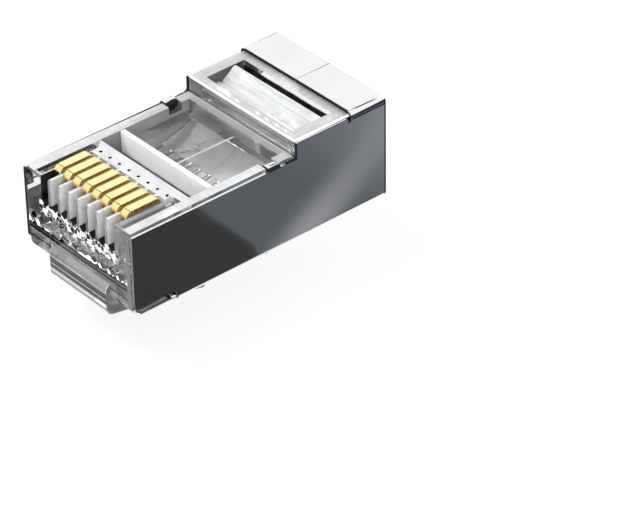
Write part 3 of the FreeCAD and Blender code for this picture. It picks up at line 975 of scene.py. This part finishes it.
@dataclass
class BodyLayout:
    """Sets out where each finish of the moulded body lies, from the boxes of the pieces in it."""

    comb_margin: float = 0.6 * MM
    comb_depth: float = 2.4 * MM
    gap_reach: float = 1.2 * MM
    shelf_drop: float = 1.2 * MM
    dimple: float = 0.19 * MM
    near: float = 0.1 * MM
    lead_gap: float = 1.0 * MM
    pocket_y: float = 5.75 * MM
    step_y: float = 14.0 * MM
    window_z: float = 5.9 * MM
    witness: float = 0.01 * MM

    def regions(self, to: BodySlots) -> list[Region]:
        """Lay out the regions of the body's faces.

        Args:
            to: the body's material slots.

        Returns:
            The regions, first match first.
        """
        low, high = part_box("contact_1")
        front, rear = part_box("cable_clamp_flap")
        bar_low, bar_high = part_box("conductor_clamp_bar")
        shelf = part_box("shield")[1].z - self.shelf_drop
        end, floor, deck = abs(low.x), high.z - self.comb_depth, bar_high.z
        comb_x, comb_y = below(end + self.comb_margin), below(high.y + self.comb_margin)
        comb_rear, land_y = (high.y + self.near, comb_y[1]), (high.y, bar_low.y - self.near)
        cap_z, dimple_z = above(deck - self.near), (deck - self.dimple, deck - self.near / 10)
        flap_x = below(rear.x)
        shelf_y, gap_y = (front.y - self.gap_reach, front.y + self.near), (rear.y, rear.y + self.gap_reach)
        window = {"y": above(bar_high.y), "up": above(-SLANT)}
        witness = (self.window_z + self.witness, self.window_z + self.near)
        side = {"aside": below(bar_high.x + 2 * self.near), "y": (bar_high.y, self.step_y)}
        step_y = (self.step_y - self.lead_gap, self.step_y + self.comb_margin)
        lead = {
            "x": below(-self.lead_gap),
            "y": (bar_high.y + self.lead_gap, front.y - self.lead_gap),
            "z": (self.near, deck - self.lead_gap),
        }
        hood = {"y": above(bar_high.y), "z": above(deck + self.lead_gap / 2), "up": above(SLANT)}
        return [
            # Comb: one end wall and the slot floors in painted shade, eroded walls and an eroded rear wall.
            Region(to.dark, x=(-comb_x[1], -end), y=comb_y, z=above(floor), right=above(UPRIGHT)),
            Region(to.eroded, aside=comb_x, y=comb_y, z=above(floor), across=above(UPRIGHT)),
            Region(to.dark, aside=comb_x, y=comb_y, z=(low.z, floor), up=above(SLANT)),
            Region(to.eroded, aside=comb_x, y=comb_rear, z=above(low.z), rear=below(-UPRIGHT)),
            Region(to.nose, y=below(self.near), rear=below(-SQUARE)),
            # Land behind the comb, and painted shade in its round dimples and along the lip of the bar's
            # pocket.
            Region(to.eroded, aside=comb_x, y=land_y, z=cap_z, up=above(UPRIGHT)),
            Region(to.dark, aside=below(end + self.near), y=land_y, z=dimple_z),
            Region(to.dark, y=around(self.pocket_y, self.near), z=cap_z, rear=above(SLANT)),
            # Recess of the cable clamp: its rear wall in painted shade and the shelf before the flap.
            Region(to.gap, aside=flap_x, y=gap_y, z=above(front.z), rear=below(-UPRIGHT)),
            Region(to.eroded, aside=flap_x, y=shelf_y, z=above(shelf), up=above(UPRIGHT)),
            # Window: a raised witness area, then its floor, its side walls and the front of the step in
            # darker greys of painted shade.
            Region(to.eroded, z=witness, **window),
            Region(to.window, z=around(self.window_z, self.near), **window),
            Region(to.wall, z=(bar_low.z, deck - self.lead_gap), across=above(SQUARE), **side),
            Region(to.riser, y=step_y, z=above(self.window_z), rear=below(-SQUARE)),
            # Rounded edges of the raised cable end, rounded lower corners and the walls of the wire channels;
            # the edges and channel walls take the rim finish's painted highlight.
            Region(to.rim, **hood, rear=below(-SLANT)),
            Region(to.rim, **hood, across=above(SLANT)),
            Region(to.eroded, aside=above(end + self.comb_margin), across=above(SLANT), up=below(-SLANT)),
            Region(to.rim, aside=comb_x, y=below(self.pocket_y), z=below(low.z), across=above(UPRIGHT)),
            # One side of the lead-in, as it shows through the window: its steep faces eroded and its slanted
            # faces in painted shade.
            Region(to.eroded, **lead, right=above(UPRIGHT)),
            Region(to.dark, **lead, right=above(SLANT)),
            Region(to.deck, z=cap_z, up=above(SQUARE)),
        ]


@dataclass
class Moulding:
    """The clear moulded pieces: body, latch, conductor bar and cable clamp."""

    polished: ClearMoulding = ClearMoulding()
    # Greyer copy of the clear plastic for the latch, painted shade.
    latch: ClearMoulding = ClearMoulding("latch_moulding", tint=grey(0.88), refraction=1.42)
    bar: ClearMoulding = ClearMoulding(
        "bar_moulding", tint=(1.0, 1.0, 1.0), streak_tint=grey(0.95), clarity=0.2, smooth=0.15, hazed=0.4,
    )
    # Darker grey tint and grey streaks paint shade onto the strongly lit flap.
    flap: ClearMoulding = ClearMoulding(
        "flap_moulding", tint=grey(0.8, 0.01), streak_tint=grey(0.62, 0.01), clarity=0.5, smooth=0.12,
        hazed=0.35,
    )
    eroded: ClearMoulding = ClearMoulding(
        "eroded_moulding", tint=(0.88, 0.885, 0.9), streak_tint=(0.7, 0.71, 0.73), clarity=0.55,
        smooth=0.35, hazed=0.5,
    )
    # Near-white finish of rounded edges and channel walls, a painted highlight.
    rim: ClearMoulding = ClearMoulding("rim_highlight_moulding", clarity=0.15, smooth=0.15, hazed=0.3)
    deck: ClearMoulding = ClearMoulding(
        "satin_moulding", tint=grey(0.94), streak_tint=grey(0.76), clarity=0.65, smooth=0.06, hazed=0.25,
        streaks=(5000.0, 350.0, 2500.0),
    )
    # Window floor, step riser, front foot and ledge: darker grey copies of the clear plastic, painted shade.
    window: ClearMoulding = ClearMoulding(
        "window_moulding", tint=grey(0.64), haze_tint=grey(0.61), streak_tint=grey(0.58), clarity=0.92,
        hazed=0.03,
    )
    riser: ClearMoulding = ClearMoulding(
        "riser_moulding", tint=grey(0.42), haze_tint=grey(0.4), streak_tint=grey(0.2), clarity=0.75,
        smooth=0.03, hazed=0.1, streaks=(260.0, 260.0, 500.0),
    )
    foot: ClearMoulding = ClearMoulding(
        "foot_moulding", tint=grey(0.5), streak_tint=grey(0.2), clarity=0.8, smooth=0.03, hazed=0.1,
        streaks=(260.0, 260.0, 1500.0), shade_bands=((1.95, 2.2), (1.3, 1.42)),
    )
    ledge: ClearMoulding = ClearMoulding(
        "ledge_moulding", tint=grey(0.6), haze_tint=grey(0.58), streak_tint=grey(0.42), clarity=0.65,
        smooth=0.04, hazed=0.15, streaks=(260.0, 260.0, 500.0),
    )
    # Latch front: dark bands of painted shade across it.
    latch_front: ClearMoulding = ClearMoulding(
        "latch_front_moulding", tint=grey(0.95), streak_tint=grey(0.7), refraction=1.42, clarity=0.7,
        smooth=0.05, hazed=0.15, streaks=(60.0, 2500.0, 3000.0),
        shade_bands=((0.02, 0.34), (0.4, 0.9), (-0.42, -0.3)), shade_band_tint=grey(0.02, 0.001),
    )
    edge: float = 0.045 * MM
    skin_gap: float = 0.01 * MM
    gap_line: float = 0.3 * MM
    nose_band: float = 0.55 * MM
    bar_foot_z: float = 5.1 * MM
    bar_foot: float = 0.16
    bar_foot_soft: float = 0.08
    latch_front_z: float = 1.0 * MM
    latch_root_y: float = 5.75 * MM

    def build(self) -> None:
        """Dress the four clear pieces, then give their faces the finishes that differ."""
        # The rounded edges of every clear piece take the near-white rim finish, a painted highlight.
        rim = self.rim.build()
        pieces = (
            ("plug_body", "shell", self.polished, self._dress_body),
            ("latch_tab", "latch", self.latch, self._dress_latch),
            ("conductor_clamp_bar", "conductor_clamp", self.bar, self._dress_bar),
            ("cable_clamp_flap", "cable_clamp", self.flap, None),
        )
        for node, body, finish, dress in pieces:
            dressed = DressedNode(node, body, "clear_plastic", self.edge, self.skin_gap)
            piece = dressed.build(finish.build(), rim)
            if dress:
                dress(piece)

    def _dress_bar(self, bar: bpy.types.Object) -> None:
        """Shade a fine line along the foot of the bar's front, where the pocket darkens it.

        Args:
            bar: the dressed bar.
        """
        line = self.bar_foot_z / MM
        foot = ShadedMoulding("bar_front", self.bar, line, self.bar_foot, self.bar_foot_soft)
        paint(bar, [Region(add_slot(bar, foot), rear=below(-UPRIGHT))])

    def _dress_latch(self, latch: bpy.types.Object) -> None:
        """Give the latch its front with dark bands and its darker sides, both painted shade.

        Args:
            latch: the dressed latch.
        """
        front, side = add_slot(latch, self.latch_front), add_slot(latch, self.riser)
        sides = Region(side, y=below(self.latch_root_y), across=above(UPRIGHT))
        paint(latch, [sides, Region(front, z=below(self.latch_front_z), rear=below(-UPRIGHT))])

    def _dress_body(self, body: bpy.types.Object) -> None:
        """Give each region of the body its own finish.

        Args:
            body: the dressed body.
        """
        layout = BodyLayout()
        wall_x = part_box("conductor_clamp_bar")[1].x / MM
        strap_y = (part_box("shield")[1].y - STRAP) / MM
        gap_line = (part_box("cable_clamp_flap")[1].z - self.gap_line) / MM
        nose_x = (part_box("plug_body")[1].x - self.nose_band) / MM
        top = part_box("shield")[1].z / MM
        # Apart from the eroded finish and the deck's satin walls, these finishes paint shade into the body:
        # dark zones, darker greys and, on the front face, light and dark glints.
        finishes = {
            "deck": DeckMoulding(self.deck, self.ledge, wall_x, layout.step_y / MM, strap_y),
            "eroded": self.eroded,
            "dark": ShadedMoulding("shaded_wall", self.polished, top),
            "gap": ShadedMoulding("gap_wall", self.polished, gap_line),
            "nose": NoseMoulding(self.polished, self.rim, self.foot, nose_x),
            "window": self.window,
            "riser": self.riser,
            "wall": self.ledge,
        }
        slots = {name: add_slot(body, finish) for name, finish in finishes.items()}
        paint(body, layout.regions(BodySlots(rim=1, **slots)))


@dataclass
class FoldedShield:
    """The folded metal sheet round the moulding."""

    edge: float = 0.05 * MM
    facing: float = 0.35
    inward: float = 0.25

    def build(self) -> None:
        """Dress the shield, then mark its inner side and its cut edges."""
        low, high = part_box("shield")
        finish = NickelSheet(high.y / MM, high.x / MM, high.z / MM, (high.y - STRAP) / MM)
        piece = DressedNode("shield", "shell", "shield_metal", self.edge).build(finish.build())
        axis = (low + high) / 2
        wall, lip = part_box("plug_body")[1].x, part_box("latch_tab")[1].x
        sheet = high.x - wall
        across = above(self.facing)
        edges = (
            Region(rear=across),
            Region(rear=below(-self.facing)),
            Region(aside=(lip, wall - sheet), z=(2 * sheet, high.z - 2 * sheet), across=across),
        )

        def is_inner(centre: Vector, normal: Vector) -> bool:
            """True for a face that looks into the plug."""
            inward = Vector((axis.x - centre.x, 0, axis.z - centre.z))
            return normal.dot(inward.normalized()) > self.inward

        mark_faces(piece, Mark.CUT, lambda *face: any(edge.holds(*face) for edge in edges))
        mark_faces(piece, Mark.INNER, is_inner)


@dataclass
class BladeRow:
    """Eight gold blades: a rounded head, a thin web and its piercing teeth."""

    head: float = 0.8 * MM
    web: float = 0.3 * MM
    radius: float = 0.5 * MM
    tooth: float = 0.75 * MM
    teeth: int = 3
    arc_points: int = 12
    edge: float = 0.05 * MM
    sharp: float = 50.0
    # Place of the painted dark crease line, as a share of the head's radius back from the blade's front.
    crease_line: float = 0.75
    facing: float = 0.8

    def build(self) -> None:
        """Make one blade for each body that carries one."""
        line_y = (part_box("contact_1")[0].y + self.radius * self.crease_line) / MM
        tree = self._tree(GoldPlate(line_y=line_y).build())
        for node in sorted(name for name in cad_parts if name.startswith("contact_")):
            low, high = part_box(node)
            sizes = {
                "Length": high.y - low.y,
                "Width": high.x - low.x,
                "Depth": high.z - low.z,
                "Head": self.head,
                "Radius": self.radius,
                "Web": self.web,
                "Tooth": self.tooth,
                "Side": (low.x + high.x) / 2,
                "Middle": (low.y + high.y) / 2,
                "Top": high.z,
            }
            piece = tree.made(node + "_plated", sizes)
            round_edges(piece, self.edge, self.sharp, segments=3, weight=50)
            mark_faces(piece, Mark.SHEARED, lambda centre, normal: abs(normal.x) > self.facing)
            attach(piece, node.replace("contact", "blade"), node)

    def _tree(self, material: bpy.types.Material) -> FormTree:
        """Lay out the blade on the XY plane and stand it up across the plug.

        Args:
            material: the blade's finish.

        Returns:
            The finished tree.
        """
        tree = FormTree("blade_form")
        length, width, depth = tree.size("Length"), tree.size("Width"), tree.size("Depth")
        head, radius, web, tooth = (tree.size(name) for name in ("Head", "Radius", "Web", "Tooth"))
        side, middle, top = tree.size("Side"), tree.size("Middle"), tree.size("Top")
        still, plain = tree.vector(), tree.vector(1.0, 1.0, 1.0)
        index = tree.node("GeometryNodeInputIndex", {}, {})
        bar = tree.node("GeometryNodeCurvePrimitiveQuadrilateral", {}, {"Width": length, "Height": head})
        # Points 0 and 1 of the bar are its two upper corners.
        corner = {"Count": self.arc_points, "Radius": (index < 1.5) * radius, "Limit Radius": True}
        rounded = tree.node("GeometryNodeFilletCurve", {"mode": "POLY"}, {"Curve": bar, **corner})
        crown = tree.moved(tree.plate(rounded, width), tree.vector(y=head * -0.5), still, plain)
        reach = depth - tooth - head * 0.5
        strip = tree.node("GeometryNodeCurvePrimitiveQuadrilateral", {}, {"Width": length, "Height": reach})
        blank = tree.plate(strip, web)
        blank = tree.moved(blank, tree.vector(y=head * -0.5 - reach * 0.5), still, plain)
        # A triangle on a circle of radius 1 is sqrt(3) wide and 3/2 high, with its base 1/2 from the middle.
        ring = tree.node("GeometryNodeCurvePrimitiveCircle", {}, {"Resolution": 3, "Radius": 1.0})
        share = length / self.teeth
        point = tree.moved(ring, still, tree.vector(z=-math.pi / 2), plain)
        fitted = tree.vector(share / math.sqrt(3), tooth * (2 / 3), 1.0)
        point = tree.moved(point, tree.vector(y=tooth * (-1 / 3)), still, fitted)
        spike = tree.plate(point, web)
        start = tree.vector(length * -0.5 + share * 0.5, tooth - depth)
        places = {"Count": self.teeth, "Start Location": start, "Offset": tree.vector(share)}
        row = tree.node("GeometryNodeMeshLine", {"mode": "OFFSET"}, places)
        spikes = tree.node("GeometryNodeInstanceOnPoints", {}, {"Points": row, "Instance": spike})
        flat = tree.node("GeometryNodeJoinGeometry", {}, {"Geometry": [crown, blank, spikes]})
        upright = tree.vector(math.pi / 2, 0.0, math.pi / 2)
        tree.finish(tree.moved(flat, tree.vector(side, middle, top), upright, plain), material)
        return tree


def lying(x0: float, x1: float, y0: float, y1: float, height: float) -> list[Triple]:
    """Corners of a card that lies flat, in millimetres."""
    return [(x0, y0, height), (x1, y0, height), (x1, y1, height), (x0, y1, height)]


def standing(x0: float, y0: float, x1: float, y1: float, z0: float, z1: float) -> list[Triple]:
    """Corners of a card that stands upright, in millimetres."""
    return [(x0, y0, z0), (x1, y1, z0), (x1, y1, z1), (x0, y0, z1)]


@dataclass(frozen=True)
class Glow:
    """Lighter band on a card between two points, which fades ahead, on a base that is lighter behind."""

    start: Pair
    end: Pair
    width: float
    light: Colour
    fade: float = 0.6
    fade_soft: float = 1.6
    rear_gain: float = 1.9
    rear_gap: float = 2.0
    rear_soft: float = 6.0

    def colour(self, tree: ShaderTree, base: Colour) -> Sock:
        """Colour of a card with this band.

        Args:
            tree: the card's material.
            base: the card's own colour.

        Returns:
            The colour.
        """
        (x0, y0), (x1, y1) = self.start, self.end
        long = math.hypot(x1 - x0, y1 - y0)
        ux, uy = (x1 - x0) / long, (y1 - y0) / long
        x, y = tree.along("X") - x0, tree.along("Y") - y0
        aside = (x * -uy + y * ux).size()
        ahead = (x * ux + y * uy).over(long * self.fade, long * self.fade_soft)
        band = (1.0 - aside.over(self.width / 2, self.width)) * (1.0 - ahead * self.fade)
        rear = tree.along("Y").over(y1 + self.rear_gap, y1 - y0 + self.rear_soft)
        lighter = tuple(value * self.rear_gain for value in base)
        return tree.blend(band, tree.blend(rear, base, lighter), self.light)


@dataclass
class Card:
    """A flat studio card with rounded corners, seen only by the rays that it names."""

    name: str
    corners: Sequence[Triple]
    colour: Colour
    radius: float = 0.0
    seen: Seen = Seen.MIRRORED
    glow: Optional[Glow] = None
    corner_faces: int = 8

    def build(self) -> None:
        """Make the card and mark it as part of the studio."""
        shape = bmesh.new()
        face = shape.faces.new([shape.verts.new(Vector(corner) * MM) for corner in self.corners])
        if self.radius > 0:
            bmesh.ops.bevel(
                shape,
                geom=list(face.verts),
                offset=self.radius * MM,
                offset_type="OFFSET",
                segments=self.corner_faces,
                profile=0.5,
                affect="VERTICES",
            )
        mesh = bpy.data.meshes.new(self.name)
        shape.to_mesh(mesh)
        shape.free()
        tree = ShaderTree(self.name)
        colour = self.glow.colour(tree, self.colour) if self.glow else self.colour
        mesh.materials.append(tree.finish(tree.node("ShaderNodeEmission", {}, {"Color": colour})))
        card = placed(self.name, mesh)
        card.visible_camera = False
        card.visible_diffuse = False
        card.visible_shadow = False
        card.visible_transmission = self.seen is Seen.REFRACTED
        card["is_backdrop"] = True


@dataclass
class Studio:
    """Camera, lamps, pale floor, white surroundings and dark cards."""

    azimuth: float = 49.709
    elevation: float = 35.036
    roll: float = -0.963
    distance: float = 241.42
    focal_px: float = 3534.65
    frame_px: tuple[int, int] = (617, 530)
    sensor: float = 36.0
    target: Triple = (0.0, 10.0, 3.5)
    aside: Pair = (-7.7747, 5.4339)
    clip: Pair = (1.0 * MM, 10.0)
    lamp_aim: Triple = (0.0, 11.0, 3.0)
    ambient: float = 0.6
    floor_gap: float = 0.05
    floor_reach: float = 2.0
    # Glow of the floor as seen through the clear moulding, dimmed as painted shade under the plug.
    floor_through: float = 0.42
    floor_shown: float = 0.85
    paper: tuple[Colour, Colour] = ((0.86, 0.86, 0.86), (0.9, 0.9, 0.9))
    paper_grain: float = 900.0
    paper_roughness: float = 0.9
    card_gap: float = 0.15
    black: Colour = (0.038, 0.039, 0.041)
    slate: Colour = (0.104, 0.115, 0.122)
    light: Colour = (0.33, 0.33, 0.34)

    def build(self) -> None:
        """Set up the whole studio."""
        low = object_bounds()[0].z / MM - self.floor_gap
        self._camera()
        self._world()
        self._floor(low)
        self._lamps()
        self._cards(low + self.card_gap)

    def _camera(self) -> None:
        """Place the camera at the photograph's viewing angle."""
        azimuth, elevation = math.radians(self.azimuth), math.radians(self.elevation)
        level = math.cos(elevation)
        back = Vector((math.sin(azimuth) * level, -math.cos(azimuth) * level, math.sin(elevation)))
        right = (-back).cross(Vector((0, 0, 1))).normalized()
        up = right.cross(-back)
        roll = math.radians(self.roll)
        across = right * math.cos(roll) + up * math.sin(roll)
        upward = up * math.cos(roll) - right * math.sin(roll)
        centre = Vector(self.target) - across * self.aside[0] - upward * self.aside[1]
        location = (centre + back * self.distance) * MM
        data = bpy.data.cameras.new("camera")
        data.sensor_width = self.sensor
        data.lens = self.focal_px / self.frame_px[0] * self.sensor
        data.clip_start, data.clip_end = self.clip
        camera = placed("camera", data)
        turn = Matrix((across, upward, back)).transposed()
        camera.matrix_world = Matrix.Translation(location) @ turn.to_4x4()
        bpy.context.scene.camera = camera

    def _world(self) -> None:
        """White for camera, mirror and refracted rays, and a plain soft fill for the rest."""
        world = bpy.data.worlds.new("surroundings")
        bpy.context.scene.world = world
        world.use_nodes = True
        tree = NodeTree(world.node_tree)
        seen, _ = tree.rays()
        strength = seen.least(1.0) * (1.0 - self.ambient) + self.ambient
        sky = tree.node("ShaderNodeBackground", {}, {"Color": (1.0, 1.0, 1.0), "Strength": strength})
        tree.node("ShaderNodeOutputWorld", {}, {"Surface": sky})

    def _floor(self, low: float) -> None:
        """Pale floor just under the plug, near white with a soft shadow and clear from below; seen through
        the clear moulding it glows dimmer, a painted shade under the plug.

        Args:
            low: height of the floor in millimetres.
        """
        mesh = bpy.data.meshes.new("floor")
        reach = self.floor_reach
        corners = [(x * reach, y * reach, low * MM) for x, y in ((-1, -1), (1, -1), (1, 1), (-1, 1))]
        mesh.from_pydata(corners, [], [(0, 1, 2, 3)])
        tree = ShaderTree("floor_paper")
        seen, through = tree.rays()
        colour = tree.blend(tree.noise(tree.place(), self.paper_grain), *self.paper)
        # Refracted rays see the floor dimmer, painted shade under the plug.
        strength = 1.0 - through * (1.0 - self.floor_through)
        glow = tree.node("ShaderNodeEmission", {}, {"Color": (1.0, 1.0, 1.0), "Strength": strength})
        lit = tree.mixed(seen * self.floor_shown, tree.plain(colour, self.paper_roughness), glow)
        under = tree.node("ShaderNodeNewGeometry", {}, {}, "Backfacing")
        clear = tree.node("ShaderNodeBsdfTransparent", {}, {})
        mesh.materials.append(tree.finish(tree.mixed(under, lit, clear)))
        placed("floor", mesh)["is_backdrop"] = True

    def _lamps(self) -> None:
        """Three plain soft boxes, each with its place and size in millimetres and its power in watts."""
        boxes = {
            "key_box": ((-90.0, -60.0, 170.0), 120.0, 0.5),
            "side_box": ((170.0, -90.0, 90.0), 110.0, 0.25),
            "back_box": ((20.0, 190.0, 130.0), 130.0, 0.25),
        }
        aim = Vector(self.lamp_aim) * MM
        for name, (place, size, power) in boxes.items():
            data = bpy.data.lights.new(name, "AREA")
            data.size = size * MM
            data.energy = power
            lamp = placed(name, data)
            lamp.location = Vector(place) * MM
            lamp.rotation_euler = (lamp.location - aim).to_track_quat("Z", "Y").to_euler()
            lamp.visible_glossy = False

    def _cards(self, low: float) -> None:
        """Dark cards round the plug that give the polished metal its contrast.

        Args:
            low: height of the cards that lie on the floor, in millimetres.
        """
        front = lying(9.0, 60.0, -40.0, 14.8, low + 0.1)
        mouth = standing(-9.0, 27.0, 9.0, 27.0, low, 9.5)
        glow = Glow((10.6, 19.4), (14.0, 26.6), 2.2, self.light)
        cards = (
            Card("front_card", front, self.black, radius=3.0, seen=Seen.REFRACTED),
            Card("side_card", lying(7.5, 20.5, -30.0, 36.0, low), self.slate, glow=glow),
            Card("far_card", lying(7.5, 220.0, 14.8, 200.0, low - 0.05), self.black),
            Card("left_card", lying(-220.0, -9.0, -30.0, 200.0, low), self.black),
            Card("mouth_card", mouth, self.black, seen=Seen.REFRACTED),
            Card("horizon_card", standing(130.0, 30.0, 60.0, 150.0, low, 38.0), self.black),
            Card("overhead_card", lying(-50.0, -4.0, 45.0, 85.0, 68.0), self.black),
        )
        for card in cards:
            card.build()


def main() -> None:
    """Build every sub-assembly and the studio in order."""
    logging.basicConfig(level=logging.INFO, format="%(name)s %(message)s")
    scene = bpy.context.scene
    scene.view_settings.view_transform = "Standard"
    # Enough bounces for light to cross the moulding's many clear walls.
    scene.cycles.max_bounces = scene.cycles.transmission_bounces = 24
    scene.cycles.glossy_bounces = 12
    Moulding().build()
    FoldedShield().build()
    BladeRow().build()
    Studio().build()


if __name__ == "__main__":
    main()
